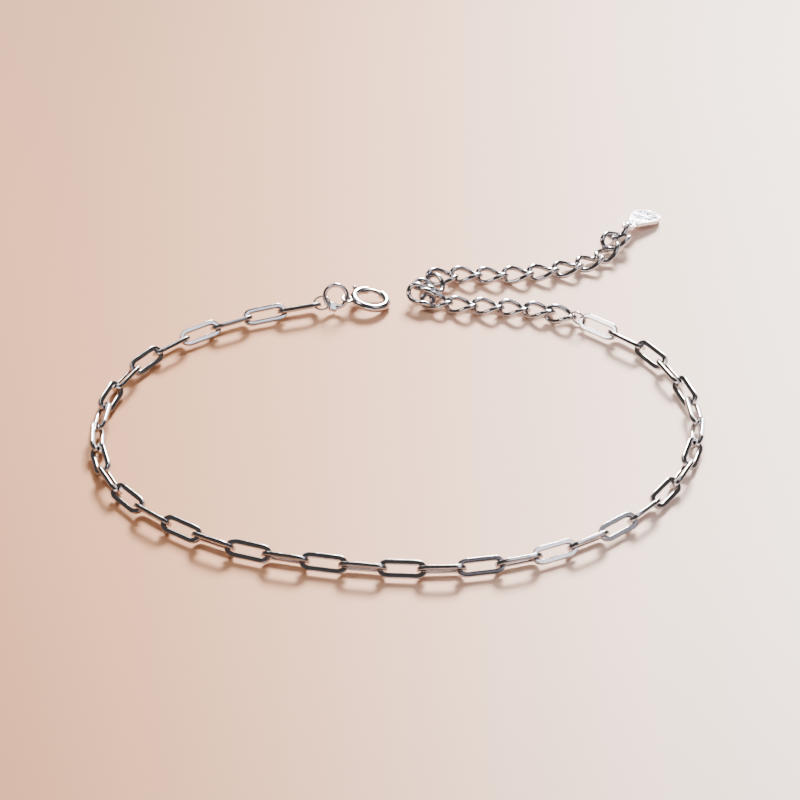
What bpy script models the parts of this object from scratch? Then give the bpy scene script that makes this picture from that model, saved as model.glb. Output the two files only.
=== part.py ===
"""Chain bracelet: flattened paperclip links, a spring-ring clasp, an extension chain and a tag.

It lies unfastened on a level surface at z = 0. Metres, +Z up, the free end of the
extension chain towards +Y, origin at the middle of the footprint. The only joint is the
clasp's bolt, which turns about the clasp's own axis.
"""

import math
from collections import namedtuple

import bmesh
import bpy
from mathutils import Matrix, Vector

MM = 0.001

# Main chain
LINK_COUNT = 38
LINK_LENGTH = 5.28 * MM
LINK_WIDTH = 2.0 * MM
LINK_END = 1.15 * MM
LINK_BAND = 0.52 * MM
LINK_THICKNESS = 0.48 * MM
LINK_FLAT = 0.42 * MM
LINK_PLAY = 0.1 * MM
LINK_FACE_ROLL = 38.0
LINK_CROSS_ROLL_NEAR = 52.0
LINK_CROSS_ROLL_FAR = 40.0

# Chosen points of the main chain, from its clasp end round the near side to its other end
MAIN_ROUTE = (
    (-9.35, 25.85), (-17.4, 22.95), (-24.7, 18.25), (-29.75, 12.0), (-32.55, 4.15),
    (-32.6, -4.1), (-29.9, -11.6), (-24.4, -17.4), (-17.5, -21.85), (-9.6, -24.3),
    (-1.5, -25.65), (6.9, -25.65), (15.0, -23.45), (22.25, -19.2), (27.95, -13.2),
    (31.7, -5.8), (33.05, 2.4), (31.45, 9.75), (27.75, 16.75), (21.45, 22.45),
)

# Small round jump rings at both ends of the main chain
JUMP_RING_DIAMETER = 2.05 * MM
JUMP_RING_WIRE = 0.22 * MM
RING_PLAY = 0.1 * MM

# Where each jump ring has settled, seen from the wire at that end of the main chain:
# millimetres outwards, to the left and up, and the way the ring's axis points
SettledRing = namedtuple("SettledRing", "outwards left up axis")
CLASP_SIDE_RING = SettledRing(0.380, 0.020, 0.166, (0.193, 0.354, -0.915))
FAR_SIDE_RING = SettledRing(0.424, 0.142, 0.101, (0.154, -0.959, 0.239))

# Ring between the first jump ring and the clasp, with its crimped tab
CLASP_RING_DIAMETER = 3.0 * MM
CLASP_RING_WIRE = 0.4 * MM
CLASP_RING_TILT = 66.0
CLASP_RING_HOOK = 215.0
CRIMP_WIDTH = 0.95 * MM
CRIMP_HEIGHT = 1.0 * MM
CRIMP_THICKNESS = 0.6 * MM
CRIMP_PLACE = 254.0

# Spring ring: angles run round its own axis from +X, anticlockwise seen from above
CLASP_DIAMETER = 4.75 * MM
CLASP_TUBE = 0.95 * MM
CLASP_WALL = 0.12 * MM
CLASP_TILT = 10.0
GATE_NEAR = 50.0
GATE_FAR = 97.0
EYELET_PLACE = 195.0
EYELET_REACH = 1.12 * MM
EYELET_WIDTH = 1.55 * MM
EYELET_WIRE = 0.34 * MM
BOLT_WIRE = 0.5 * MM
BOLT_TIP_IN_SOCKET = 5.0
KNOB_PLACE = 133.0
KNOB_DIAMETER = 0.62 * MM
KNOB_NECK = 0.3 * MM
BOLT_TRAVEL = 38.0
BOLT_TAIL = 12.0
BOLT_END_ROOM = 6.0
SOCKET_DEPTH = 10.0
MOUTH_OVERRUN = 6.0

# Extension chain of twisted curb links, fused into one body
CURB_LENGTH = 3.96 * MM
CURB_WIDTH = 2.8 * MM
CURB_WIRE = 0.5 * MM
CURB_TWIST = 84.0
CURB_BITE = 0.1 * MM

# Each curb link: compass heading and slope of its long side, its roll about that side,
# and the heading, slope and length (in pitches) of the step from the link before it
CurbLink = namedtuple("CurbLink", "heading slope roll step_heading step_slope step")
FIRST_CURB_TIP = (0.943, 0.020, -0.022)
CURB_LINKS = (
    CurbLink(163.1, -0.7, -9.1, 0.0, 0.0, 0.000),
    CurbLink(165.9, -1.2, 1.9, 153.7, -4.2, 0.886),
    CurbLink(170.0, 0.5, 0.6, 171.9, 0.4, 0.976),
    CurbLink(173.7, 0.3, 0.0, 173.1, 0.3, 0.982),
    CurbLink(171.8, -0.2, -1.6, 173.9, 0.1, 0.986),
    CurbLink(167.4, 0.3, -8.4, 165.6, 1.9, 0.971),
    CurbLink(144.7, 20.9, -8.9, 162.7, 10.6, 0.605),
    CurbLink(-51.1, -8.0, -26.9, 68.8, 5.0, 0.470),
    CurbLink(102.8, -3.5, -1.5, 68.1, -13.7, 0.706),
    CurbLink(10.2, -3.5, 10.1, 55.4, -0.9, 0.640),
    CurbLink(-2.3, 0.1, 0.1, 10.4, -1.1, 0.927),
    CurbLink(0.4, 0.4, -0.7, -1.6, 0.0, 0.984),
    CurbLink(7.2, 0.4, 3.5, 4.5, -0.2, 0.997),
    CurbLink(13.3, 0.7, -0.9, 11.0, 0.1, 0.993),
    CurbLink(19.8, 0.7, -0.8, 15.9, 0.0, 0.987),
    CurbLink(32.0, 0.6, -1.5, 27.4, 0.4, 0.985),
    CurbLink(53.0, 9.0, -15.2, 43.1, 1.7, 0.967),
    CurbLink(25.0, 1.5, 13.7, 63.5, 12.0, 0.745),
    CurbLink(53.2, -0.3, -44.9, 70.8, -1.8, 0.655),
)

# Drop-shaped tag
TAG_WIDTH = 3.5 * MM
TAG_REACH = 5.6 * MM
TAG_NECK = 1.5 * MM
TAG_THICKNESS = 0.42 * MM
TAG_LUG = 1.7 * MM
TAG_HOLE = 0.86 * MM
TAG_HEADING = 55.0

# Facets round a loop and round its wire
LINK_END_POINTS = 6
CURB_POINTS = 12
RING_POINTS = 16
TUBE_STEP = 15.0

SILVER = (0.86, 0.86, 0.87, 1.0)


def clear_scene():
    for obj in list(bpy.data.objects):
        bpy.data.objects.remove(obj, do_unlink=True)


def new_collection(name):
    group = bpy.data.collections.new(name)
    bpy.context.scene.collection.children.link(group)
    return group


def silver(name, roughness):
    finish = bpy.data.materials.new(name)
    finish.use_nodes = True
    shader = finish.node_tree.nodes["Principled BSDF"]
    shader.inputs["Base Color"].default_value = SILVER
    shader.inputs["Metallic"].default_value = 1.0
    shader.inputs["Roughness"].default_value = roughness
    finish.diffuse_color = SILVER
    return finish


def heading(degrees, slope=0.0):
    """Unit vector at a compass angle from +X, rising by slope degrees."""
    flat = math.cos(math.radians(slope))
    turn = math.radians(degrees)
    rise = math.sin(math.radians(slope))
    return Vector((flat * math.cos(turn), flat * math.sin(turn), rise))


def frame_along(centre, direction, roll):
    """Frame with its x along direction and its z rolled from upright about that axis."""
    x_axis = direction.normalized()
    y_axis = Vector((0.0, 0.0, 1.0)).cross(x_axis).normalized()
    z_axis = x_axis.cross(y_axis)
    turn = Matrix((x_axis, y_axis, z_axis)).transposed().to_4x4()
    roll_turn = Matrix.Rotation(math.radians(roll), 4, "X")
    return Matrix.Translation(centre) @ turn @ roll_turn


# Wires

def wire_curve(name, points, wire, cyclic, sides_step=1):
    """Curve of straight runs through the points, with a round wire and closed ends."""
    curve = bpy.data.curves.new(name, "CURVE")
    curve.dimensions = "3D"
    curve.bevel_depth = wire / 2
    curve.bevel_resolution = sides_step
    curve.use_fill_caps = not cyclic
    spline = curve.splines.new("POLY")
    spline.points.add(len(points) - 1)
    for point, place in zip(spline.points, points):
        point.co = (*place, 1.0)
    spline.use_cyclic_u = cyclic
    return curve


def mesh_from_curve(name, curve):
    """The curve's tube as a closed mesh."""
    carrier = bpy.data.objects.new(name, curve)
    bpy.context.scene.collection.objects.link(carrier)
    bpy.context.view_layer.update()
    depsgraph = bpy.context.evaluated_depsgraph_get()
    mesh = bpy.data.meshes.new_from_object(carrier.evaluated_get(depsgraph))
    bpy.data.objects.remove(carrier)
    weld = bmesh.new()
    weld.from_mesh(mesh)
    bmesh.ops.remove_doubles(weld, verts=weld.verts, dist=1e-7)
    bmesh.ops.recalc_face_normals(weld, faces=weld.faces)
    weld.to_mesh(mesh)
    weld.free()
    mesh.name = name
    return mesh


def wire_mesh(name, points, wire, cyclic, sides_step=1):
    return mesh_from_curve(name, wire_curve(name, points, wire, cyclic, sides_step))


def ring_points(radius, count, start=0.0, sweep=360.0):
    """Points round a circle; a full circle leaves out the repeated last one."""
    steps = count if sweep >= 360.0 else count - 1
    points = []
    for index in range(count):
        turn = math.radians(start + sweep * index / steps)
        points.append(Vector((radius * math.cos(turn), radius * math.sin(turn), 0.0)))
    return points


def arc_points(radius, start, end):
    """Points round part of a circle, about one step of the tube apart."""
    count = max(3, round((end - start) / TUBE_STEP) + 1)
    return ring_points(radius, count, start, end - start)


# Booleans

def add_object(name, mesh, group, finish=None):
    obj = bpy.data.objects.new(name, mesh)
    if finish is not None and not mesh.materials:
        mesh.materials.append(finish)
    group.objects.link(obj)
    return obj


def hide_cutter(obj):
    obj.hide_render = True
    obj.display_type = "WIRE"


def boolean(obj, other, operation):
    change = obj.modifiers.new(f"{operation.lower()}_{other.name}", "BOOLEAN")
    change.operation = operation
    change.solver = "EXACT"
    change.object = other


def settle(obj):
    """Turn the object's modifiers into its own mesh."""
    bpy.context.view_layer.update()
    depsgraph = bpy.context.evaluated_depsgraph_get()
    mesh = bpy.data.meshes.new_from_object(obj.evaluated_get(depsgraph))
    obj.modifiers.clear()
    obj.data = mesh


# Routes

def smooth_route(points, steps=24):
    """Catmull-Rom curve through the points, which are in millimetres."""
    knots = [Vector((x * MM, y * MM, 0.0)) for x, y in points]
    before = knots[0] * 2 - knots[1]
    after = knots[-1] * 2 - knots[-2]
    knots = [before, *knots, after]
    curve = []
    for index in range(1, len(knots) - 2):
        p0, p1, p2, p3 = knots[index - 1:index + 3]
        for step in range(steps):
            t = step / steps
            curve.append(
                0.5 * (2 * p1 + (p2 - p0) * t + (2 * p0 - 5 * p1 + 4 * p2 - p3) * t * t
                       + (3 * p1 - p0 - 3 * p2 + p3) * t ** 3)
            )
    curve.append(knots[-2].copy())
    return curve


def march(curve, step, count):
    """The curve scaled to hold count equal steps, and the points that end each step."""
    length = sum((b - a).length for a, b in zip(curve, curve[1:]))
    scale = step * count / length
    run = [point * scale for point in curve]
    run.append(run[-1] + (run[-1] - run[-2]).normalized() * step)
    joints = [run[0]]
    here = run[0]
    for start, end in zip(run, run[1:]):
        while len(joints) <= count and (end - here).length >= step:
            near = (start - here).length
            far = (end - here).length
            share = (step - near) / (far - near) if near < step else 0.0
            target = start.lerp(end, share)
            here = here + (target - here).normalized() * step
            joints.append(here)
    return joints


# Main chain

def link_outline():
    """Middle line of a link: two straight sides and two half-ellipse ends."""
    reach = LINK_END - LINK_BAND / 2
    half_width = (LINK_WIDTH - LINK_BAND) / 2
    straight = LINK_LENGTH / 2 - LINK_END
    points = []
    for side in (1, -1):
        for index in range(LINK_END_POINTS):
            turn = math.radians(-90.0 + 180.0 * index / (LINK_END_POINTS - 1))
            x = side * (straight + reach * math.cos(turn))
            y = side * half_width * math.sin(turn)
            points.append(Vector((x, y, 0.0)))
    return points


def link_section():
    """Six-sided outline of the flattened wire, as a flat curve."""
    half_band = LINK_BAND / 2
    half_flat = LINK_FLAT / 2
    half_thick = LINK_THICKNESS / 2
    corners = (
        (half_band, 0.0), (half_flat, half_thick), (-half_flat, half_thick),
        (-half_band, 0.0), (-half_flat, -half_thick), (half_flat, -half_thick),
    )
    section = bpy.data.curves.new("link_section", "CURVE")
    section.dimensions = "2D"
    section.fill_mode = "NONE"
    spline = section.splines.new("POLY")
    spline.points.add(len(corners) - 1)
    for point, (x, y) in zip(spline.points, corners):
        point.co = (x, y, 0.0, 1.0)
    spline.use_cyclic_u = True
    return section


def link_mesh(guides):
    profile = bpy.data.objects.new("link_section", link_section())
    guides.objects.link(profile)
    hide_cutter(profile)
    curve = wire_curve("link_line", link_outline(), LINK_BAND, True)
    curve.twist_mode = "Z_UP"
    curve.bevel_mode = "OBJECT"
    curve.bevel_object = profile
    return mesh_from_curve("link", curve)


def half_height(mesh, frame):
    """How far the turned mesh reaches below its own centre."""
    turn = frame.to_3x3()
    return -min((turn @ vertex.co).z for vertex in mesh.vertices)


def cross_roll(place, route_reach):
    """Roll of every second link, which leans a little less on the far side."""
    share = 0.5 + 0.5 * place.y / route_reach
    return LINK_CROSS_ROLL_NEAR + (LINK_CROSS_ROLL_FAR - LINK_CROSS_ROLL_NEAR) * share


def main_chain(group, guides, root, finish):
    """All main links, and the middle of the wire at the chain's two free ends."""
    mesh = link_mesh(guides)
    pitch = LINK_LENGTH - 2 * LINK_BAND - LINK_PLAY
    joints = march(smooth_route(MAIN_ROUTE), pitch, LINK_COUNT)
    reach = max(abs(joint.y) for joint in joints)
    steepest = frame_along(Vector(), Vector((1.0, 0.0, 0.0)), LINK_CROSS_ROLL_NEAR)
    height = half_height(mesh, steepest)
    for index, (start, end) in enumerate(zip(joints, joints[1:])):
        centre = (start + end) / 2 + Vector((0.0, 0.0, height))
        roll = LINK_FACE_ROLL if index % 2 == 0 else -cross_roll(centre, reach)
        link = add_object(f"link_{index + 1:02d}", mesh, group, finish)
        link.parent = root
        link.matrix_local = frame_along(centre, end - start, roll)
    beyond = (LINK_LENGTH - LINK_BAND - pitch) / 2
    first = (joints[0] - joints[1]).normalized()
    last = (joints[-1] - joints[-2]).normalized()
    lift = Vector((0.0, 0.0, height))
    return (
        (joints[0] + first * beyond + lift, first),
        (joints[-1] + last * beyond + lift, last),
    )


# Rings

def hook_on(carrier_wire, own_wire):
    """Distance between the middles of two wires that hang in each other."""
    return (carrier_wire + own_wire) / 2 + RING_PLAY


def settled_frame(ring, chain_end):
    """Frame at the ring's centre with its z along the ring's axis."""
    start, outward = chain_end
    centre = Vector((ring.outwards, ring.left, ring.up)) * MM
    turn = Vector(ring.axis).to_track_quat("Z", "Y").to_matrix().to_4x4()
    return frame_along(start, outward, 0.0) @ Matrix.Translation(centre) @ turn


def ring_object(name, diameter, wire, frame, group, root, finish):
    points = ring_points((diameter - wire) / 2, RING_POINTS)
    ring = add_object(name, wire_mesh(name, points, wire, True), group, finish)
    ring.parent = root
    ring.matrix_local = frame
    return ring


def clasp_ring(frame, group, guides, root, finish):
    """Round ring with a small flat tab pressed onto its wire."""
    radius = (CLASP_RING_DIAMETER - CLASP_RING_WIRE) / 2
    ring = ring_object("clasp_ring", CLASP_RING_DIAMETER, CLASP_RING_WIRE, frame, group, root, finish)
    block = bmesh.new()
    bmesh.ops.create_cube(block, size=1.0)
    size = Matrix.Diagonal((CRIMP_HEIGHT, CRIMP_WIDTH, CRIMP_THICKNESS, 1.0))
    turn = Matrix.Rotation(math.radians(CRIMP_PLACE), 4, "Z")
    bmesh.ops.transform(block, matrix=turn @ Matrix.Translation((radius, 0.0, 0.0)) @ size, verts=block.verts)
    mesh = bpy.data.meshes.new("crimp")
    block.to_mesh(mesh)
    block.free()
    crimp = add_object("crimp", mesh, guides)
    crimp.parent = root
    crimp.matrix_local = frame
    hide_cutter(crimp)
    boolean(ring, crimp, "UNION")
    return ring


# Spring ring

def clasp_radius():
    return (CLASP_DIAMETER - CLASP_TUBE) / 2


def eyelet_mesh():
    """Small oval loop that starts inside the tube's wall and reaches outwards."""
    inner = CLASP_DIAMETER / 2 - CLASP_WALL / 2
    outer = CLASP_DIAMETER / 2 + EYELET_REACH - EYELET_WIRE / 2
    middle = Vector(((inner + outer) / 2, 0.0, 0.0))
    points = []
    for place in ring_points(1.0, RING_POINTS - 4):
        x = place.x * (outer - inner) / 2
        y = place.y * (EYELET_WIDTH - EYELET_WIRE) / 2
        points.append(middle + Vector((x, y, 0.0)))
    mesh = wire_mesh("eyelet", points, EYELET_WIRE, True)
    mesh.transform(Matrix.Rotation(math.radians(EYELET_PLACE), 4, "Z"))
    return mesh


def slot_mesh():
    """Curved block that opens the tube's outer side for the knob's whole travel."""
    margin = math.degrees((KNOB_NECK / 2 + RING_PLAY) / clasp_radius())
    start = KNOB_PLACE - margin
    end = KNOB_PLACE + BOLT_TRAVEL + margin
    height = KNOB_NECK / 2 + RING_PLAY
    inner = clasp_radius()
    outer = CLASP_DIAMETER / 2 + RING_PLAY
    block = bmesh.new()
    rows = []
    for place in arc_points(1.0, start, end):
        corners = ((inner, -height), (outer, -height), (outer, height), (inner, height))
        rows.append([block.verts.new((place.x * r, place.y * r, z)) for r, z in corners])
    for row, after in zip(rows, rows[1:]):
        for index in range(4):
            after_index = (index + 1) % 4
            block.faces.new((row[index], row[after_index], after[after_index], after[index]))
    block.faces.new(rows[0][::-1])
    block.faces.new(rows[-1])
    bmesh.ops.recalc_face_normals(block, faces=block.faces)
    mesh = bpy.data.meshes.new("knob_slot")
    block.to_mesh(mesh)
    block.free()
    return mesh


def spring_ring_body(frame, group, guides, root, finish):
    """Open ring of hollow tube: bore for the bolt, socket for its tip, knob slot and eyelet."""
    radius = clasp_radius()
    tube = wire_mesh("tube", arc_points(radius, GATE_FAR, GATE_NEAR + 360.0), CLASP_TUBE, False, 2)
    body = add_object("spring_ring_body", tube, group, finish)
    body.parent = root
    body.matrix_local = frame
    bore = CLASP_TUBE - 2 * CLASP_WALL
    bore_end = KNOB_PLACE + BOLT_TRAVEL + BOLT_TAIL + BOLT_END_ROOM
    bore_line = arc_points(radius, GATE_FAR - MOUTH_OVERRUN, bore_end)
    socket_line = arc_points(radius, GATE_NEAR - SOCKET_DEPTH, GATE_NEAR + MOUTH_OVERRUN)
    cuts = (
        ("eyelet", eyelet_mesh(), "UNION"),
        ("bore", wire_mesh("bore", bore_line, bore, False), "DIFFERENCE"),
        ("socket", wire_mesh("socket", socket_line, bore, False), "DIFFERENCE"),
        ("knob_slot", slot_mesh(), "DIFFERENCE"),
    )
    for name, mesh, operation in cuts:
        tool = add_object(name, mesh, guides)
        tool.parent = root
        tool.matrix_local = frame
        hide_cutter(tool)
        boolean(body, tool, operation)
    return body


def knob_mesh():
    """Neck through the slot with a round thumb knob on its end."""
    radius = clasp_radius()
    centre = CLASP_DIAMETER / 2 + KNOB_DIAMETER / 2
    knob = bmesh.new()
    bmesh.ops.create_uvsphere(knob, u_segments=10, v_segments=7, radius=KNOB_DIAMETER / 2)
    bmesh.ops.translate(knob, vec=(centre, 0.0, 0.0), verts=knob.verts)
    mesh = bpy.data.meshes.new("knob")
    knob.to_mesh(mesh)
    knob.free()
    mesh.transform(Matrix.Rotation(math.radians(KNOB_PLACE), 4, "Z"))
    neck_line = [heading(KNOB_PLACE) * radius, heading(KNOB_PLACE) * centre]
    return mesh, wire_mesh("neck", neck_line, KNOB_NECK, False)


def spring_ring_bolt(frame, group, guides, root, finish):
    """Curved bolt that closes the gate; its origin is on the ring's axis."""
    start = GATE_NEAR - BOLT_TIP_IN_SOCKET
    end = KNOB_PLACE + BOLT_TAIL
    line = arc_points(clasp_radius(), start, end)
    bolt = add_object("spring_ring_bolt", wire_mesh("bolt", line, BOLT_WIRE, False), group, finish)
    bolt.parent = root
    bolt.matrix_local = frame
    for name, mesh in zip(("knob", "knob_neck"), knob_mesh()):
        tool = add_object(name, mesh, guides)
        tool.parent = root
        tool.matrix_local = frame
        hide_cutter(tool)
        boolean(bolt, tool, "UNION")
    return bolt


def clasp_end(chain_end, group, guides, root, finish):
    """Jump ring, clasp ring and spring ring, each hung in the one before."""
    start, outward = chain_end
    compass = math.degrees(math.atan2(outward.y, outward.x))
    jump_radius = (JUMP_RING_DIAMETER - JUMP_RING_WIRE) / 2
    ring_radius = (CLASP_RING_DIAMETER - CLASP_RING_WIRE) / 2
    ring_height = ring_radius * math.sin(math.radians(CLASP_RING_TILT)) + CRIMP_HEIGHT / 2
    ring_turn = frame_along(Vector(), Vector((1.0, 0.0, 0.0)), CLASP_RING_TILT)

    hook_local = ring_radius * heading(CLASP_RING_HOOK)
    hook_height = ring_height + (ring_turn @ hook_local).z
    first_hook = start - outward * hook_on(LINK_BAND, JUMP_RING_WIRE)
    span = 2 * jump_radius - hook_on(JUMP_RING_WIRE, CLASP_RING_WIRE)
    slope = math.degrees(math.asin((hook_height - start.z) / span))
    along = heading(compass, slope)
    jump_frame = settled_frame(CLASP_SIDE_RING, chain_end)
    ring_object("clasp_jump_ring", JUMP_RING_DIAMETER, JUMP_RING_WIRE, jump_frame, group, root, finish)

    hook = first_hook + along * span
    ring_centre = hook - ring_turn @ hook_local
    ring_frame = Matrix.Translation(ring_centre) @ ring_turn
    clasp_ring(ring_frame, group, guides, root, finish)

    tilt = math.radians(CLASP_TILT)
    clasp_turn = Matrix.Rotation(tilt, 4, "Y")
    loop_reach = CLASP_DIAMETER / 2 + EYELET_REACH - EYELET_WIRE / 2
    loop_local = loop_reach * heading(EYELET_PLACE)
    clasp_height = clasp_radius() * math.sin(tilt) + CLASP_TUBE / 2
    loop_height = clasp_height + (clasp_turn @ loop_local).z
    rise = (loop_height - ring_centre.z) / (ring_radius * math.sin(math.radians(CLASP_RING_TILT)))
    inner_radius = ring_radius - hook_on(CLASP_RING_WIRE, EYELET_WIRE)
    loop_place = ring_frame @ (inner_radius * heading(math.degrees(math.asin(rise))))
    clasp_centre = loop_place - clasp_turn @ loop_local
    clasp_frame = Matrix.Translation((clasp_centre.x, clasp_centre.y, clasp_height)) @ clasp_turn
    spring_ring_body(clasp_frame, group, guides, root, finish)
    return spring_ring_bolt(clasp_frame, group, guides, root, finish)


# Extension chain

def curb_points():
    """Middle line of a curb link: an oval twisted about its long side."""
    half_length = (CURB_LENGTH - CURB_WIRE) / 2
    half_width = (CURB_WIDTH - CURB_WIRE) / 2
    points = []
    for place in ring_points(1.0, CURB_POINTS):
        turn = math.radians(-CURB_TWIST / 2 * place.x)
        y = half_width * place.y
        points.append(Vector((half_length * place.x, y * math.cos(turn), y * math.sin(turn))))
    return points


def curb_mesh():
    """Curb link whose twisted faces are split into flat triangles."""
    mesh = wire_mesh("curb_link", curb_points(), CURB_WIRE, True)
    split = bmesh.new()
    split.from_mesh(mesh)
    bmesh.ops.triangulate(split, faces=split.faces)
    split.to_mesh(mesh)
    split.free()
    return mesh


def curb_pitch():
    return CURB_LENGTH - 2 * CURB_WIRE + CURB_BITE


def extension_end(chain_end, group, guides, root, finish):
    """Jump ring on the last main link, then the curb links, each ending in the next."""
    start, outward = chain_end
    mesh = curb_mesh()
    jump_frame = settled_frame(FAR_SIDE_RING, chain_end)
    ring_object("extension_jump_ring", JUMP_RING_DIAMETER, JUMP_RING_WIRE, jump_frame, group, root, finish)

    half_middle = (CURB_LENGTH - CURB_WIRE) / 2
    centre = frame_along(start, outward, 0.0) @ (Vector(FIRST_CURB_TIP) * MM)
    chain = None
    for index, row in enumerate(CURB_LINKS):
        along = heading(row.heading, row.slope)
        if index == 0:
            centre = centre + along * half_middle
        else:
            centre = centre + heading(row.step_heading, row.step_slope) * row.step * curb_pitch()
        frame = frame_along(centre, along, row.roll)
        if index == 0:
            chain = add_object("extension_chain", mesh.copy(), group, finish)
            chain.data.transform(frame)
            chain.parent = root
        else:
            link = add_object(f"curb_{index + 1:02d}", mesh, guides)
            link.matrix_local = frame
            hide_cutter(link)
            boolean(chain, link, "UNION")
    settle(chain)
    return centre + along * half_middle


# Tag

def disc_mesh(name, radius, thickness, count):
    disc = bmesh.new()
    bmesh.ops.create_cone(
        disc, cap_ends=True, segments=count, radius1=radius, radius2=radius, depth=thickness
    )
    mesh = bpy.data.meshes.new(name)
    disc.to_mesh(mesh)
    disc.free()
    return mesh


def tag_outline():
    """Drop shape along +X: a wide round end and a narrow round end joined by tangents."""
    wide = TAG_WIDTH / 2
    narrow = TAG_NECK / 2
    wide_x = TAG_REACH - wide
    narrow_x = TAG_LUG / 2 + narrow / 2
    lean = math.degrees(math.acos((wide - narrow) / (wide_x - narrow_x)))
    points = []
    for centre, radius, start, end, count in (
        (wide_x, wide, lean - 180.0, 180.0 - lean, 13),
        (narrow_x, narrow, 180.0 - lean, 180.0 + lean, 5),
    ):
        for index in range(count):
            turn = math.radians(start + (end - start) * index / (count - 1))
            points.append((centre + radius * math.cos(turn), radius * math.sin(turn)))
    return points


def tag_plate():
    curve = bpy.data.curves.new("tag_plate", "CURVE")
    curve.dimensions = "2D"
    curve.fill_mode = "BOTH"
    curve.extrude = TAG_THICKNESS / 2
    outline = tag_outline()
    spline = curve.splines.new("POLY")
    spline.points.add(len(outline) - 1)
    for point, (x, y) in zip(spline.points, outline):
        point.co = (x, y, 0.0, 1.0)
    spline.use_cyclic_u = True
    return mesh_from_curve("tag", curve)


def tag(chain_end, group, guides, root, finish):
    """Drop-shaped plate with a holed lug, its lug end raised by the last curb link."""
    raised = chain_end.z - TAG_THICKNESS / 2
    tilt = math.asin(raised / TAG_REACH)
    lug_wall = (TAG_LUG - TAG_HOLE) / 2
    local_hook = Vector((-(TAG_HOLE + lug_wall) / 2, 0.0, 0.0))
    turn = Matrix.Rotation(math.radians(TAG_HEADING), 4, "Z") @ Matrix.Rotation(tilt, 4, "Y")
    last = heading(CURB_LINKS[-1].heading)
    hook = chain_end - last * hook_on(CURB_WIRE, lug_wall)
    centre = hook - turn @ local_hook
    centre.z = chain_end.z
    frame = Matrix.Translation(centre) @ turn
    plate = add_object("tag", tag_plate(), group, finish)
    plate.parent = root
    plate.matrix_local = frame
    lug = add_object("tag_lug", disc_mesh("tag_lug", TAG_LUG / 2, TAG_THICKNESS, 18), guides)
    hole = add_object("tag_hole", disc_mesh("tag_hole", TAG_HOLE / 2, TAG_THICKNESS * 2, 14), guides)
    for tool, operation in ((lug, "UNION"), (hole, "DIFFERENCE")):
        tool.parent = root
        tool.matrix_local = frame
        hide_cutter(tool)
        boolean(plate, tool, operation)
    return plate


def stand_on_origin(group, root):
    """Move everything so that the middle of the footprint is the origin."""
    bpy.context.view_layer.update()
    depsgraph = bpy.context.evaluated_depsgraph_get()
    places = []
    for obj in group.objects:
        if obj.type == "MESH":
            solid = obj.evaluated_get(depsgraph)
            places += [solid.matrix_world @ vertex.co for vertex in solid.data.vertices]
    low = Vector([min(place[axis] for place in places) for axis in range(3)])
    high = Vector([max(place[axis] for place in places) for axis in range(3)])
    root.location = (-(low.x + high.x) / 2, -(low.y + high.y) / 2, -low.z)
    bpy.context.view_layer.update()


def main():
    clear_scene()
    group = new_collection("chain_bracelet")
    guides = new_collection("cutters")
    root = bpy.data.objects.new("bracelet", None)
    group.objects.link(root)
    chain_finish = silver("polished_silver", 0.12)
    clasp_finish = silver("clasp_silver", 0.16)
    tag_finish = silver("tag_silver", 0.24)
    clasp_side, far_side = main_chain(group, guides, root, chain_finish)
    clasp_end(clasp_side, group, guides, root, clasp_finish)
    end = extension_end(far_side, group, guides, root, chain_finish)
    tag(end, group, guides, root, tag_finish)
    stand_on_origin(group, root)


main()
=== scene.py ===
"""Looks of the chain bracelet: fine links, clasp, extension and tag, their silver, floor and light."""
import math
from collections import namedtuple

import bmesh
import bpy
import numpy as np
from mathutils import Matrix, Vector


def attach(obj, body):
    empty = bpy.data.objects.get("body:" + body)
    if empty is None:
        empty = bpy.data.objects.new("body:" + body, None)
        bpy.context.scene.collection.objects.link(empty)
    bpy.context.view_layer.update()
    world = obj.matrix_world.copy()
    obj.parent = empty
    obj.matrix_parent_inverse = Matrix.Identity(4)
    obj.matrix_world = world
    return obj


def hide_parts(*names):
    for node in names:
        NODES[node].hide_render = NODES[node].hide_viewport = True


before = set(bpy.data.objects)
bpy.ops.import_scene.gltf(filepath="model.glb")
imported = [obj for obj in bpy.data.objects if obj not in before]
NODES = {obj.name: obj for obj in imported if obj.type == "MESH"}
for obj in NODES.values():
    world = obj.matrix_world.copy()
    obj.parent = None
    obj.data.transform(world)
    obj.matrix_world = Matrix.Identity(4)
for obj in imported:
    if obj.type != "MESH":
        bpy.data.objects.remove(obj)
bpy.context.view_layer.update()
ROOT = "bracelet"
MM = 0.001
UP = (0.0, 0.0, 1.0)

# Sizes are in millimetres and places round the clasp in degrees. The links' band and the round
# wires are drawn up to 0.1 mm thicker than in the solids.

# Main links: half of the straight sides, the reach of the round ends, then the flattened wire
LINK_STRAIGHT = 1.49
LINK_REACH = 0.89
LINK_HALF_WIDTH = 0.74
LINK_BAND = 0.56
LINK_THICKNESS = 0.46
LINK_CORNER = 0.09

# Rings: radius of the wire's centre line, then the wire; the crimp is a tab on the clasp ring
JUMP_RADIUS, JUMP_WIRE = 0.915, 0.25
CLASP_RING_RADIUS, CLASP_RING_WIRE = 1.3, 0.5
CRIMP_PLACE = 254.0
CRIMP_HEIGHT, CRIMP_WIDTH, CRIMP_THICKNESS = 1.0, 0.95, 0.6
CRIMP_CORNER = 0.14
CRIMP_FACE = (0.303, -0.563, 0.769)

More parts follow.
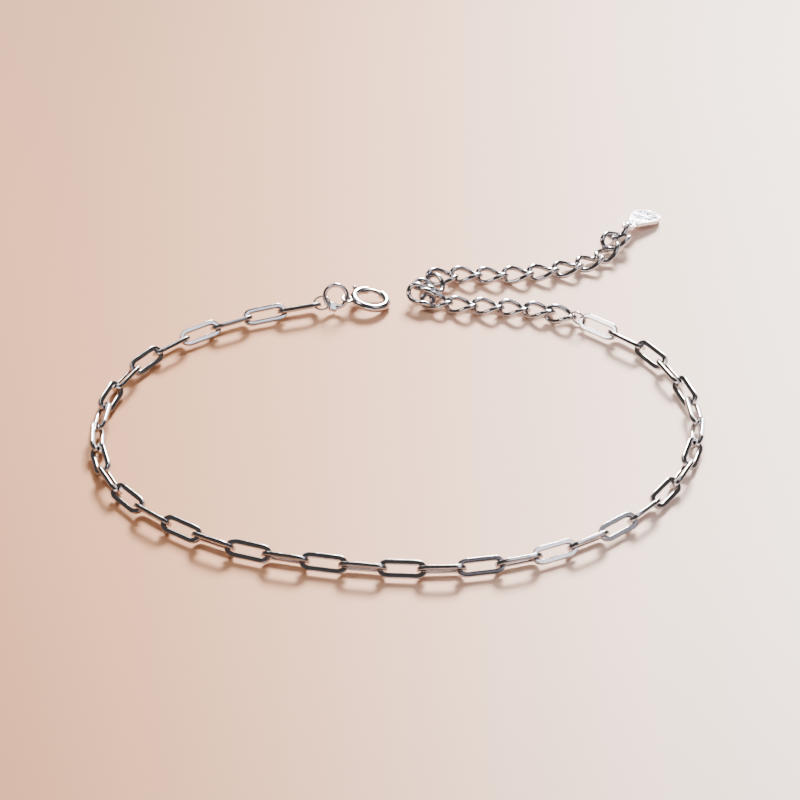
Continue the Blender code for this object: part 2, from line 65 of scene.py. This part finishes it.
# Spring ring: its tube, the gate in it, the slot for the knob and the eyelet. Edges that turn by
# more than CREASE_ANGLE, in radians, stay sharp.
CLASP_RADIUS, CLASP_TUBE, CLASP_WALL = 1.9, 0.95, 0.12
GATE_NEAR, GATE_FAR = 50.0, 97.0
LIP_LENGTH = 0.09
LIP_ROUND = ((0.0, 0.9), (0.3, 0.965))
TUBE_STEPS = 84
BORE_END = 189.0
SOCKET_DEPTH = 10.0
BORE_OVERRUN = 6.0
SLOT_HALF_DEPTH, SLOT_HALF_WIDTH = 0.4, 0.25
SLOT_PLAY = 7.5
EYELET_PLACE, EYELET_REACH, EYELET_WIDTH, EYELET_WIRE = 195.0, 1.12, 1.55, 0.34
EYELET_SUNK = 0.06
CREASE_ANGLE = 0.9

# Bolt: the thickness of its tapered ends is given as shares of the wire
BOLT_WIRE, BOLT_START, BOLT_END = 0.5, 45.0, 145.0
BOLT_TIP, BOLT_TAIL = [0.7, 0.92], [0.95, 0.8]
BOLT_STEPS = 60
BOLT_TRAVEL = 38.0
KNOB_PLACE, KNOB_DIAMETER = 133.0, 0.62
KNOB_NECK, KNOB_NECK_MIDDLE, KNOB_NECK_RISE = 0.3, 0.3, 0.15

# Curb links: the wire's centre line follows CURB_WIRE, the wire itself is CURB_ROUND thick
CURB_LENGTH, CURB_WIDTH, CURB_WIRE, CURB_TWIST = 3.96, 2.8, 0.5, 84.0
CURB_ROUND = 0.6

# Tag: the reach runs from the middle of its hole to its far end
TAG_WIDTH, TAG_REACH, TAG_NECK, TAG_THICKNESS = 3.5, 5.6, 1.5, 0.42
TAG_LUG, TAG_HOLE = 1.7, 0.86
TAG_CORNER, TAG_CORNER_ANGLE = 0.09, 50.0
LUG_SHARE = 0.999
HOLE_CUT = 3

Place = namedtuple("Place", "centre x_axis z_axis")
CLASP_RING_PLACE = Place((-7.1841, 15.9564, 1.8223), (1.0, 0.0, 0.0), (0.0, -0.91355, 0.40674))
CLASP_PLACE = Place((-3.2229, 16.7246, 0.9396), (0.98481, 0.0, -0.17365), (0.17365, 0.0, 0.98481))
TAG_PLACE = Place((27.3897, 32.5431, 1.3028), (0.56512, 0.80708, -0.17108), (0.09813, 0.14014, 0.98526))
CurbLink = namedtuple("CurbLink", "x y z heading slope roll")
CURB_LINKS = (
    CurbLink(18.674, 13.245, 0.986, 163.1, -0.7, -9.1),
    CurbLink(16.250, 14.443, 0.788, 165.9, -1.2, 1.9),
    CurbLink(13.294, 14.864, 0.809, 170.0, 0.5, 0.6),
    CurbLink(10.311, 15.225, 0.825, 173.7, 0.3, 0.0),
    CurbLink(7.311, 15.545, 0.830, 171.8, -0.2, -1.6),
    CurbLink(4.434, 16.284, 0.928, 167.4, 0.3, -8.4),
    CurbLink(2.697, 16.825, 1.269, 144.7, 20.9, -8.9),
    CurbLink(3.215, 18.161, 1.394, -51.1, -8.0, -26.9),
    CurbLink(3.998, 20.108, 0.883, 102.8, -3.5, -1.5),
    CurbLink(5.110, 21.720, 0.852, 10.2, -3.5, 10.1),
    CurbLink(7.899, 22.232, 0.797, -2.3, 0.1, 0.1),
    CurbLink(10.909, 22.148, 0.797, 0.4, 0.4, -0.7),
    CurbLink(13.950, 22.387, 0.787, 7.2, 0.4, 3.5),
    CurbLink(16.933, 22.967, 0.792, 13.3, 0.7, -0.9),
    CurbLink(19.838, 23.794, 0.792, 19.8, 0.7, -0.8),
    CurbLink(22.514, 25.181, 0.813, 32.0, 0.6, -1.5),
    CurbLink(24.673, 27.202, 0.901, 53.0, 9.0, -15.2),
    CurbLink(25.668, 29.198, 1.375, 25.0, 1.5, 13.7),
    CurbLink(26.327, 31.090, 1.312, 53.2, -0.3, -44.9),
)

# Silver: colour, its share in the dark specks, roughness, then the strength and size of its relief.
# Relief and SPECKLE_EDGE are in metres and SCRATCH_TURN is in radians.
Finish = namedtuple("Finish", "colour dark rough_low rough_high wave scratch scratch_scale scratch_relief")
CHAIN_FINISH = Finish((0.46, 0.44, 0.455), 0.95, 0.05, 0.13, 0.06, 0.1, 6000.0, 0.00002)
CLASP_FINISH = Finish((0.48, 0.46, 0.47), 0.95, 0.05, 0.14, 0.06, 0.1, 7000.0, 0.00002)
TAG_FINISH = Finish((0.85, 0.85, 0.93), 0.2, 0.08, 0.16, 0.3, 1.0, 3000.0, 0.00001)
PATCH_SCALE, PATCH_DETAIL, PATCH_LIMITS = 900.0, 4.0, (0.35, 0.7)
SPECK_SCALE, SPECK_DETAIL, SPECK_LIMITS = 2600.0, 3.0, (0.44, 0.56)
WAVE_SCALE, WAVE_DETAIL, WAVE_RELIEF = 700.0, 1.0, 0.0001
SCRATCH_DETAIL = 3.0
SCRATCH_STRETCH, SCRATCH_TURN = (1.0, 6.0, 3.0), (0.4, 0.3, 0.7)
SPECKLE_EDGE = (0.00138, 0.00152)
FLAT_FACE = 0.9

# Floor: warm paper with painted light from left to right over FLOOR_SPAN (darker and warmer on the left,
# brighter and paler on the right) and painted shade dimming it away from FLOOR_CENTRE, in metres
FLOOR_LEFT = (0.32, 0.142, 0.064, 1.0)
FLOOR_MIDDLE = (0.62, 0.30, 0.150, 1.0)
FLOOR_RIGHT = (0.98, 0.87, 0.82, 1.0)
FLOOR_SPAN, FLOOR_TILT = (-0.045, 0.05), -0.05
# FLOOR_FADE gives the distances over which the painted shade dims the floor, and the last pair gives its
# brightness near and far.
FLOOR_CENTRE, FLOOR_FADE, FLOOR_PAINTED_SHADE = (0.02, 0.02, 0.0), (0.05, 0.13), (1.0, 0.8)
FLOOR_ROUGHNESS, FLOOR_SPECULAR = 0.6, 0.08
FLOOR_SIZE, FLOOR_DROP = 6.0, 0.00001

# Light: rectangles on domes about a point, in metres; azimuth 0 is behind the bracelet, 90 to its right
Light = namedtuple(
    "Light",
    "name azimuth elevation distance width height power colour about diffuse glossy",
    defaults=((0.0, 0.0, 0.0), True, True),
)
LIGHTS = (
    Light("key", 10.0, 31.0, 2.0, 0.6, 0.5, 285.0, (1.0, 0.96, 0.92)),
    Light("key_halo", 5.0, 44.0, 2.3, 1.8, 1.6, 32.0, (1.0, 0.98, 0.98), diffuse=False),
    Light("right_card", 109.0, 56.0, 2.0, 0.75, 0.65, 4.6, (0.91, 0.92, 1.0)),
    Light("right_card_dim", 102.0, 52.0, 2.2, 1.6, 1.3, 4.9, (0.84, 0.86, 1.0)),
    Light("upper_card", 144.0, 65.0, 2.0, 0.36, 0.36, 0.12, (0.86, 0.84, 1.0)),
    Light("front_card", 184.0, 7.5, 2.0, 1.5, 0.32, 7.0, (1.0, 0.98, 1.0), diffuse=False),
    Light("horizon", 30.0, 3.0, 2.2, 1.3, 0.3, 8.0, (1.0, 1.0, 1.0)),
    Light("near_card", -91.0, 48.0, 0.12, 0.034, 0.034, 0.035, (1.0, 0.98, 0.97), (0.022, 0.011, 0.001)),
    Light("tag_card", 8.0, 13.5, 0.16, 0.05, 0.05, 0.018, (0.86, 0.87, 1.0), (0.029, 0.035, 0.001)),
    Light("fill", 200.0, 80.0, 2.5, 2.0, 2.0, 26.0, (1.0, 0.95, 0.9), glossy=False),
)
SKY_COLOUR = (1.0, 0.94, 0.9, 1.0)
SKY_HEIGHTS, SKY_STRENGTHS = (0.03, 0.2), (0.5, 0.115)

CAMERA_PLACE = (0.000208, -0.374933, 0.24707)
CAMERA_DOWN = 33.59
CAMERA_LENS, CAMERA_SENSOR, CAMERA_NEAR = 180.0, 36.0, 0.01


# Places

def axes_matrix(centre, x_axis, y_axis, z_axis):
    turn = Matrix((x_axis, y_axis, z_axis)).transposed().to_4x4()
    return Matrix.Translation(centre) @ turn


def matrix_of(place):
    """World matrix, in millimetres, of a centre with its x and z axes."""
    x_axis = Vector(place.x_axis).normalized()
    z_axis = Vector(place.z_axis).normalized()
    return axes_matrix(place.centre, x_axis, z_axis.cross(x_axis), z_axis)


def matrix_along(centre, direction, roll):
    """World matrix of a centre with its x axis along a direction, rolled about it from level."""
    x_axis = direction.normalized()
    y_axis = Vector(UP).cross(x_axis).normalized()
    level = axes_matrix(centre, x_axis, y_axis, x_axis.cross(y_axis))
    return level @ Matrix.Rotation(math.radians(roll), 4, "X")


def node_place(name):
    """Place of a node from its solid: centre, longest axis and thinnest axis, in millimetres."""
    solid = np.array([vertex.co for vertex in NODES[name].data.vertices]) / MM
    centre = (solid.max(axis=0) + solid.min(axis=0)) / 2
    _, axes = np.linalg.eigh(np.cov((solid - solid.mean(axis=0)).T))
    thin = Vector(axes[:, 0])
    if thin.z < 0:
        thin = -thin
    return Place(tuple(centre), tuple(axes[:, 2]), tuple(thin))


def heading(degrees, slope=0.0):
    flat = math.cos(math.radians(slope))
    turn = math.radians(degrees)
    return Vector((flat * math.cos(turn), flat * math.sin(turn), math.sin(math.radians(slope))))


# Sections, paths and meshes

def round_section(diameter, count=16):
    turns = [2 * math.pi * i / count for i in range(count)]
    return [(diameter / 2 * math.cos(turn), diameter / 2 * math.sin(turn)) for turn in turns]


def band_section(band, thickness, corner, steps=5):
    """Rounded rectangle, band wide and thickness high."""
    points = []
    for sx, sy, start in ((1, 1, 0), (-1, 1, 90), (-1, -1, 180), (1, -1, 270)):
        for step in range(steps):
            turn = math.radians(start + 90.0 * step / (steps - 1))
            x = sx * (band / 2 - corner) + corner * math.cos(turn)
            y = sy * (thickness / 2 - corner) + corner * math.sin(turn)
            points.append((x, y))
    return points


def circle_path(radius, start=0.0, end=360.0, count=96):
    closed = abs(end - start) >= 360.0
    steps = count if closed else count - 1
    return [radius * heading(start + (end - start) * i / steps) for i in range(count)]


def link_path(end_steps=18, side_steps=5):
    path = []
    for side in (1, -1):
        for i in range(end_steps + 1):
            turn = math.radians(-90.0 + 180.0 * i / end_steps)
            x = side * (LINK_STRAIGHT + LINK_REACH * math.cos(turn))
            path.append(Vector((x, side * LINK_HALF_WIDTH * math.sin(turn), 0.0)))
        for i in range(1, side_steps):
            x = side * LINK_STRAIGHT * (1 - 2 * i / side_steps)
            path.append(Vector((x, side * LINK_HALF_WIDTH, 0.0)))
    return path


def curb_path(count=72):
    """Twisted oval, with the up direction of its wire at each point."""
    half_length = (CURB_LENGTH - CURB_WIRE) / 2
    half_width = (CURB_WIDTH - CURB_WIRE) / 2
    path, ups = [], []
    for place in circle_path(1.0, count=count):
        turn = math.radians(-CURB_TWIST / 2 * place.x)
        y = half_width * place.y
        path.append(Vector((half_length * place.x, y * math.cos(turn), y * math.sin(turn))))
        ups.append(Vector((0.0, -math.sin(turn), math.cos(turn))))
    return path, ups


def sweep(path, section, closed=True, ups=None, scales=None):
    """Tube of a section along a path; section x points sideways and y along up."""
    build = bmesh.new()
    rings = []
    count = len(path)
    for i, point in enumerate(path):
        after = path[(i + 1) % count] if closed or i < count - 1 else point
        before = path[i - 1] if closed or i > 0 else point
        tangent = (after - before).normalized()
        up = ups[i] if ups else Vector(UP)
        side = tangent.cross(up).normalized()
        lift = side.cross(tangent)
        scale = scales[i] if scales else 1.0
        rings.append([build.verts.new(point + scale * (side * x + lift * y)) for x, y in section])
    for i in range(count if closed else count - 1):
        ring, after = rings[i], rings[(i + 1) % count]
        for k in range(len(section)):
            j = (k + 1) % len(section)
            build.faces.new((ring[k], ring[j], after[j], after[k]))
    if not closed:
        build.faces.new(rings[0])
        build.faces.new(rings[-1])
    return build


def plate(outline, thickness):
    build = bmesh.new()
    face = build.faces.new([build.verts.new((x, y, -thickness / 2)) for x, y in outline])
    grown = bmesh.ops.extrude_face_region(build, geom=[face])
    lifted = [item for item in grown["geom"] if isinstance(item, bmesh.types.BMVert)]
    bmesh.ops.translate(build, vec=(0.0, 0.0, thickness), verts=lifted)
    return build


def block(size, corner):
    """Block with rounded edges and corners."""
    build = bmesh.new()
    bmesh.ops.create_cube(build, size=1.0)
    bmesh.ops.scale(build, vec=size, verts=build.verts)
    bmesh.ops.bevel(build, geom=build.edges[:], offset=corner, segments=4, affect="EDGES", profile=0.6)
    return build


def ball(centre, diameter):
    build = bmesh.new()
    bmesh.ops.create_uvsphere(build, u_segments=32, v_segments=20, radius=diameter / 2)
    bmesh.ops.translate(build, vec=centre, verts=build.verts)
    return build


# Objects

def add_piece(name, build, place):
    """Object from a bmesh in millimetres about a place, in world metres."""
    bmesh.ops.recalc_face_normals(build, faces=build.faces)
    build.transform(Matrix.Scale(MM, 4) @ place)
    mesh = bpy.data.meshes.new(name)
    build.to_mesh(mesh)
    build.free()
    piece = bpy.data.objects.new(name, mesh)
    bpy.context.scene.collection.objects.link(piece)
    return piece


def smooth_faces(piece):
    for polygon in piece.data.polygons:
        polygon.use_smooth = True


def show_piece(name, build, place, material, replaces=(), body=ROOT, flat=False):
    """Smooth piece on a body; flat keeps its large faces looking flat between rounded edges."""
    piece = add_piece(name, build, place)
    smooth_faces(piece)
    piece.data.materials.append(material)
    if flat:
        normals = piece.modifiers.new("flat_faces", "WEIGHTED_NORMAL")
        normals.weight = 100
        normals.keep_sharp = False
    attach(piece, body)
    if replaces:
        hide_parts(*replaces)
    return piece


def crease_edges(piece, angle):
    edges = bmesh.new()
    edges.from_mesh(piece.data)
    for edge in edges.edges:
        if len(edge.link_faces) == 2 and edge.calc_face_angle() > angle:
            edge.smooth = False
    edges.to_mesh(piece.data)
    edges.free()


def combine(piece, changes):
    """Joins tools to the piece or cuts them from it, in order, and removes them."""
    for operation, tool in changes:
        change = piece.modifiers.new(operation.lower(), "BOOLEAN")
        change.operation = operation
        change.solver = "EXACT"
        change.object = tool
    bpy.context.view_layer.update()
    depsgraph = bpy.context.evaluated_depsgraph_get()
    mesh = bpy.data.meshes.new_from_object(piece.evaluated_get(depsgraph))
    piece.modifiers.clear()
    piece.data = mesh
    for _, tool in changes:
        bpy.data.objects.remove(tool)


# Materials

def add_node(tree, kind, inputs, **settings):
    """Shader node with its settings; each input is set to a value or linked to a socket."""
    node = tree.nodes.new("ShaderNode" + kind)
    for key, value in settings.items():
        setattr(node, key, value)
    for key, value in inputs.items():
        if isinstance(value, bpy.types.NodeSocket):
            tree.links.new(value, node.inputs[key])
        else:
            node.inputs[key].default_value = value
    return node


def noise(tree, vector, scale, detail):
    return add_node(tree, "TexNoise", {"Vector": vector, "Scale": scale, "Detail": detail}).outputs["Fac"]


def remap(tree, value, limits, results=(0.0, 1.0), curve="LINEAR"):
    inputs = {
        "Value": value,
        "From Min": limits[0],
        "From Max": limits[1],
        "To Min": results[0],
        "To Max": results[1],
    }
    return add_node(tree, "MapRange", inputs, interpolation_type=curve).outputs["Result"]


def new_material(name):
    material = bpy.data.materials.new(name)
    material.use_nodes = True
    tree = material.node_tree
    return material, tree, tree.nodes["Principled BSDF"]


def silver(name, finish, speckled=None):
    """Silver with patchy polish, specks, hairline scratches and a slightly wavy face.

    With a speckled point, in metres, the specks show only round that point.
    """
    material, tree, shader = new_material(name)
    shader.inputs["Metallic"].default_value = 1.0
    place = add_node(tree, "TexCoord", {}).outputs["Object"]

    patches = noise(tree, place, PATCH_SCALE, PATCH_DETAIL)
    polish = remap(tree, patches, PATCH_LIMITS, (finish.rough_low, finish.rough_high))
    tree.links.new(polish, shader.inputs["Roughness"])

    bright = remap(tree, noise(tree, place, SPECK_SCALE, SPECK_DETAIL), SPECK_LIMITS)
    if speckled:
        reach = add_node(tree, "VectorMath", {0: place, 1: speckled}, operation="DISTANCE")
        outside = remap(tree, reach.outputs["Value"], SPECKLE_EDGE)
        bright = add_node(tree, "Math", {0: outside, 1: bright}, operation="MAXIMUM").outputs["Value"]
    dark_colour = (*[channel * finish.dark for channel in finish.colour], 1.0)
    tone = add_node(tree, "Mix", {0: bright, 6: dark_colour, 7: (*finish.colour, 1.0)}, data_type="RGBA")
    tree.links.new(tone.outputs[2], shader.inputs["Base Color"])

    waves = noise(tree, place, WAVE_SCALE, WAVE_DETAIL)
    soft = add_node(tree, "Bump", {"Height": waves, "Strength": finish.wave, "Distance": WAVE_RELIEF})
    stretch = {"Vector": place, "Scale": SCRATCH_STRETCH, "Rotation": SCRATCH_TURN}
    along = add_node(tree, "Mapping", stretch).outputs["Vector"]
    scratches = {
        "Height": noise(tree, along, finish.scratch_scale, SCRATCH_DETAIL),
        "Strength": finish.scratch,
        "Distance": finish.scratch_relief,
        "Normal": soft.outputs["Normal"],
    }
    fine = add_node(tree, "Bump", scratches)
    tree.links.new(fine.outputs["Normal"], shader.inputs["Normal"])
    return material


def floor_material():
    """Matt warm paper with painted light: darker on the left, brighter and paler on the right, and painted
    shade that makes it a little dimmer far away.
    """
    material, tree, shader = new_material("floor_with_painted_light")
    shader.inputs["Roughness"].default_value = FLOOR_ROUGHNESS
    shader.inputs["Specular IOR Level"].default_value = FLOOR_SPECULAR
    place = add_node(tree, "TexCoord", {}).outputs["Object"]
    split = add_node(tree, "SeparateXYZ", {"Vector": place}).outputs
    across = add_node(tree, "Math", {0: split["Y"], 1: FLOOR_TILT, 2: split["X"]}, operation="MULTIPLY_ADD")
    # Painted light: the ramp runs from the darker, warmer left to the brighter, paler right, as the light
    # falls.
    tone = add_node(tree, "ValToRGB", {"Fac": remap(tree, across.outputs["Value"], FLOOR_SPAN)})
    ramp = tone.color_ramp
    ramp.interpolation = "B_SPLINE"
    ramp.elements[0].color = FLOOR_LEFT
    ramp.elements[1].color = FLOOR_RIGHT
    ramp.elements.new(0.5).color = FLOOR_MIDDLE
    # Painted shade: the paper dims away from FLOOR_CENTRE, as the light falls off.
    away = add_node(tree, "VectorMath", {0: place, 1: FLOOR_CENTRE}, operation="DISTANCE")
    painted_dimming = remap(tree, away.outputs["Value"], FLOOR_FADE, FLOOR_PAINTED_SHADE, "SMOOTHSTEP")
    paper = add_node(tree, "VectorMath", {0: tone.outputs["Color"], "Scale": painted_dimming}, operation="SCALE")
    tree.links.new(paper.outputs["Vector"], shader.inputs["Base Color"])
    return material


# Pieces

def add_main_chain(material):
    section = band_section(LINK_BAND, LINK_THICKNESS, LINK_CORNER)
    for name in sorted(NODES):
        if name.startswith("link_"):
            place = matrix_of(node_place(name))
            link = sweep(link_path(), section)
            show_piece(name + "_fine", link, place, material, (name,), flat=True)


def add_rings(chain_silver, clasp_silver):
    """The two jump rings, and the clasp ring with its crimped tab."""
    for node, slot in (("clasp_jump_ring", "clasp_silver"), ("extension_jump_ring", "polished_silver")):
        ring = sweep(circle_path(JUMP_RADIUS), round_section(JUMP_WIRE))
        show_piece(node + "_fine", ring, matrix_of(node_place(node)), chain_silver, (node,))

    place = matrix_of(CLASP_RING_PLACE)
    ring = sweep(circle_path(CLASP_RING_RADIUS), round_section(CLASP_RING_WIRE))
    show_piece("clasp_ring_fine", ring, place, clasp_silver, ("clasp_ring",))
    centre = place @ (CLASP_RING_RADIUS * heading(CRIMP_PLACE))
    face = Vector(CRIMP_FACE).normalized()
    outwards = place.to_3x3() @ heading(CRIMP_PLACE)
    outwards -= outwards.dot(face) * face
    crimp = block((CRIMP_HEIGHT, CRIMP_WIDTH, CRIMP_THICKNESS), CRIMP_CORNER)
    crimp_place = matrix_of(Place(centre, outwards, face))
    show_piece("clasp_ring_crimp", crimp, crimp_place, clasp_silver, flat=True)


def tube_mesh():
    """The clasp's tube, closed at its rounded lips."""
    lip = math.degrees(LIP_LENGTH / CLASP_RADIUS)
    start, end = GATE_FAR, GATE_NEAR + 360.0
    span = end - start - 2 * lip
    places = [start + lip * share for share, _ in LIP_ROUND]
    places += [start + lip + span * i / TUBE_STEPS for i in range(TUBE_STEPS + 1)]
    places += [end - lip * share for share, _ in reversed(LIP_ROUND)]
    lip_scales = [scale for _, scale in LIP_ROUND]
    scales = lip_scales + [1.0] * (TUBE_STEPS + 1) + lip_scales[::-1]
    path = [CLASP_RADIUS * heading(place) for place in places]
    return sweep(path, round_section(CLASP_TUBE, 28), closed=False, scales=scales)


def bore_mesh(start, end):
    path = circle_path(CLASP_RADIUS, start, end, 24)
    return sweep(path, round_section(CLASP_TUBE - 2 * CLASP_WALL, 20), closed=False)


def slot_mesh():
    depth, width = SLOT_HALF_DEPTH, SLOT_HALF_WIDTH
    start, end = KNOB_PLACE - SLOT_PLAY, KNOB_PLACE + BOLT_TRAVEL + SLOT_PLAY
    path = circle_path(CLASP_RADIUS + depth, start, end, 20)
    return sweep(path, [(-depth, -width), (depth, -width), (depth, width), (-depth, width)], closed=False)


def eyelet_mesh():
    """Oval wire loop, sunk a little into the tube."""
    inner = CLASP_RADIUS + CLASP_TUBE / 2 - EYELET_SUNK
    outer = CLASP_RADIUS + CLASP_TUBE / 2 + EYELET_REACH - EYELET_WIRE / 2
    middle, reach = (inner + outer) / 2, (outer - inner) / 2
    half_width = (EYELET_WIDTH - EYELET_WIRE) / 2
    circle = circle_path(1.0, count=64)
    path = [Vector((middle + place.x * reach, place.y * half_width, 0.0)) for place in circle]
    build = sweep(path, round_section(EYELET_WIRE))
    build.transform(Matrix.Rotation(math.radians(EYELET_PLACE), 4, "Z"))
    return build


def bolt_mesh():
    path = circle_path(CLASP_RADIUS, BOLT_START, BOLT_END, BOLT_STEPS)
    scales = BOLT_TIP + [1.0] * (BOLT_STEPS - len(BOLT_TIP) - len(BOLT_TAIL)) + BOLT_TAIL
    return sweep(path, round_section(BOLT_WIRE, 20), closed=False, scales=scales)


def add_spring_ring(material):
    """The clasp: its tube and eyelet ride on the bracelet, the bolt and its knob on the bolt's body."""
    place = matrix_of(CLASP_PLACE)
    tube = show_piece("spring_ring_tube", tube_mesh(), place, material, ("spring_ring_body",))
    bore = bore_mesh(GATE_FAR - BORE_OVERRUN, BORE_END)
    socket = bore_mesh(GATE_NEAR - SOCKET_DEPTH, GATE_NEAR + BORE_OVERRUN)
    cuts = (("bore_cut", bore), ("socket_cut", socket), ("slot_cut", slot_mesh()))
    combine(tube, [("DIFFERENCE", add_piece(name, build, place)) for name, build in cuts])
    crease_edges(tube, CREASE_ANGLE)
    show_piece("spring_ring_eyelet", eyelet_mesh(), place, material)

    gone = ("spring_ring_bolt",)
    show_piece("spring_ring_bolt_fine", bolt_mesh(), place, material, gone, body="bolt")
    outside = CLASP_RADIUS + CLASP_TUBE / 2
    knob = ball((outside + KNOB_DIAMETER / 2) * heading(KNOB_PLACE), KNOB_DIAMETER)
    show_piece("spring_ring_knob", knob, place, material, body="bolt")
    reaches = (CLASP_RADIUS, CLASP_RADIUS + KNOB_NECK_MIDDLE, outside + KNOB_NECK_RISE)
    path = [heading(KNOB_PLACE) * reach for reach in reaches]
    neck = sweep(path, round_section(KNOB_NECK, 16), closed=False)
    show_piece("spring_ring_knob_neck", neck, place, material, body="bolt")


def add_extension(material):
    for index, row in enumerate(CURB_LINKS):
        place = matrix_along(Vector((row.x, row.y, row.z)), heading(row.heading, row.slope), row.roll)
        path, ups = curb_path()
        link = sweep(path, round_section(CURB_ROUND), ups=ups)
        gone = ("extension_chain",) if index == 0 else ()
        show_piece(f"extension_link_{index + 1:02d}", link, place, material, gone)


def tag_outline(steps_wide=40, steps_narrow=12):
    """Drop: a wide and a narrow arc, joined by the lines that touch both."""
    wide, narrow = TAG_WIDTH / 2, TAG_NECK / 2
    wide_x, narrow_x = TAG_REACH - wide, TAG_LUG / 2 + narrow / 2
    lean = math.degrees(math.acos((wide - narrow) / (wide_x - narrow_x)))
    points = []
    for centre, radius, start, end, count in (
        (wide_x, wide, lean - 180.0, 180.0 - lean, steps_wide),
        (narrow_x, narrow, 180.0 - lean, 180.0 + lean, steps_narrow),
    ):
        for i in range(count):
            turn = math.radians(start + (end - start) * i / (count - 1))
            points.append((centre + radius * math.cos(turn), radius * math.sin(turn)))
    return points


def add_tag(clasp_silver):
    """The drop-shaped plate with its holed lug; its faces are satin, its edges polished."""
    place = matrix_of(TAG_PLACE)
    speckled = MM * (place @ Vector((TAG_REACH - TAG_WIDTH / 2, 0.0, TAG_THICKNESS / 2)))
    satin = silver("tag_silver_satin", TAG_FINISH, tuple(speckled))
    tag = show_piece("tag_fine", plate(tag_outline(), TAG_THICKNESS), place, satin, ("tag",))
    # The lug is a little thinner than the drop, so that no two faces lie in one plane.
    lug = plate(round_section(TAG_LUG, 40), TAG_THICKNESS * LUG_SHARE)
    hole = plate(round_section(TAG_HOLE, 32), TAG_THICKNESS * HOLE_CUT)
    changes = [
        ("UNION", add_piece("tag_lug_part", lug, place)),
        ("DIFFERENCE", add_piece("tag_hole_cut", hole, place)),
    ]
    combine(tag, changes)
    rim = tag.modifiers.new("soft_edges", "BEVEL")
    rim.width = TAG_CORNER * MM
    rim.segments = 3
    rim.limit_method = "ANGLE"
    rim.angle_limit = math.radians(TAG_CORNER_ANGLE)
    rim.harden_normals = True
    smooth_faces(tag)
    tag.data.materials.append(clasp_silver)
    across = (place.to_3x3() @ Vector(UP)).normalized()
    for polygon in tag.data.polygons:
        polygon.material_index = 0 if abs(polygon.normal.dot(across)) > FLAT_FACE else 1


# Floor, light and camera

def add_floor():
    bpy.ops.mesh.primitive_plane_add(size=FLOOR_SIZE, location=(0.0, 0.0, -FLOOR_DROP))
    floor = bpy.context.object
    floor.name = "floor"
    floor.data.materials.append(floor_material())


def add_light(light):
    data = bpy.data.lights.new(light.name, "AREA")
    data.shape = "RECTANGLE"
    data.size = light.width
    data.size_y = light.height
    data.energy = light.power
    data.color = light.colour
    lamp = bpy.data.objects.new(light.name, data)
    bpy.context.scene.collection.objects.link(lamp)
    azimuth, elevation = math.radians(light.azimuth), math.radians(light.elevation)
    flat = math.cos(elevation)
    away = Vector((math.sin(azimuth) * flat, math.cos(azimuth) * flat, math.sin(elevation)))
    lamp.location = Vector(light.about) + away * light.distance
    lamp.rotation_euler = away.to_track_quat("Z", "Y").to_euler()
    lamp.visible_diffuse = light.diffuse
    lamp.visible_glossy = light.glossy


def add_sky():
    """Dim warm sky, brighter at the horizon."""
    world = bpy.data.worlds.new("studio")
    world.use_nodes = True
    tree = world.node_tree
    direction = add_node(tree, "TexCoord", {}).outputs["Generated"]
    height = add_node(tree, "SeparateXYZ", {"Vector": direction}).outputs["Z"]
    strength = remap(tree, height, SKY_HEIGHTS, SKY_STRENGTHS, "SMOOTHSTEP")
    background = tree.nodes["Background"]
    background.inputs["Color"].default_value = SKY_COLOUR
    tree.links.new(strength, background.inputs["Strength"])
    bpy.context.scene.world = world


def add_camera():
    data = bpy.data.cameras.new("camera")
    data.lens = CAMERA_LENS
    data.sensor_width = CAMERA_SENSOR
    data.clip_start = CAMERA_NEAR
    camera = bpy.data.objects.new("camera", data)
    bpy.context.scene.collection.objects.link(camera)
    camera.location = CAMERA_PLACE
    camera.rotation_euler = (math.radians(90.0 - CAMERA_DOWN), 0.0, 0.0)
    bpy.context.scene.camera = camera


chain_silver = silver("chain_silver", CHAIN_FINISH)
clasp_silver = silver("clasp_silver_polished", CLASP_FINISH)
add_main_chain(chain_silver)
add_rings(chain_silver, clasp_silver)
add_spring_ring(clasp_silver)
add_extension(chain_silver)
add_tag(clasp_silver)
add_floor()
for light in LIGHTS:
    add_light(light)
add_sky()
add_camera()
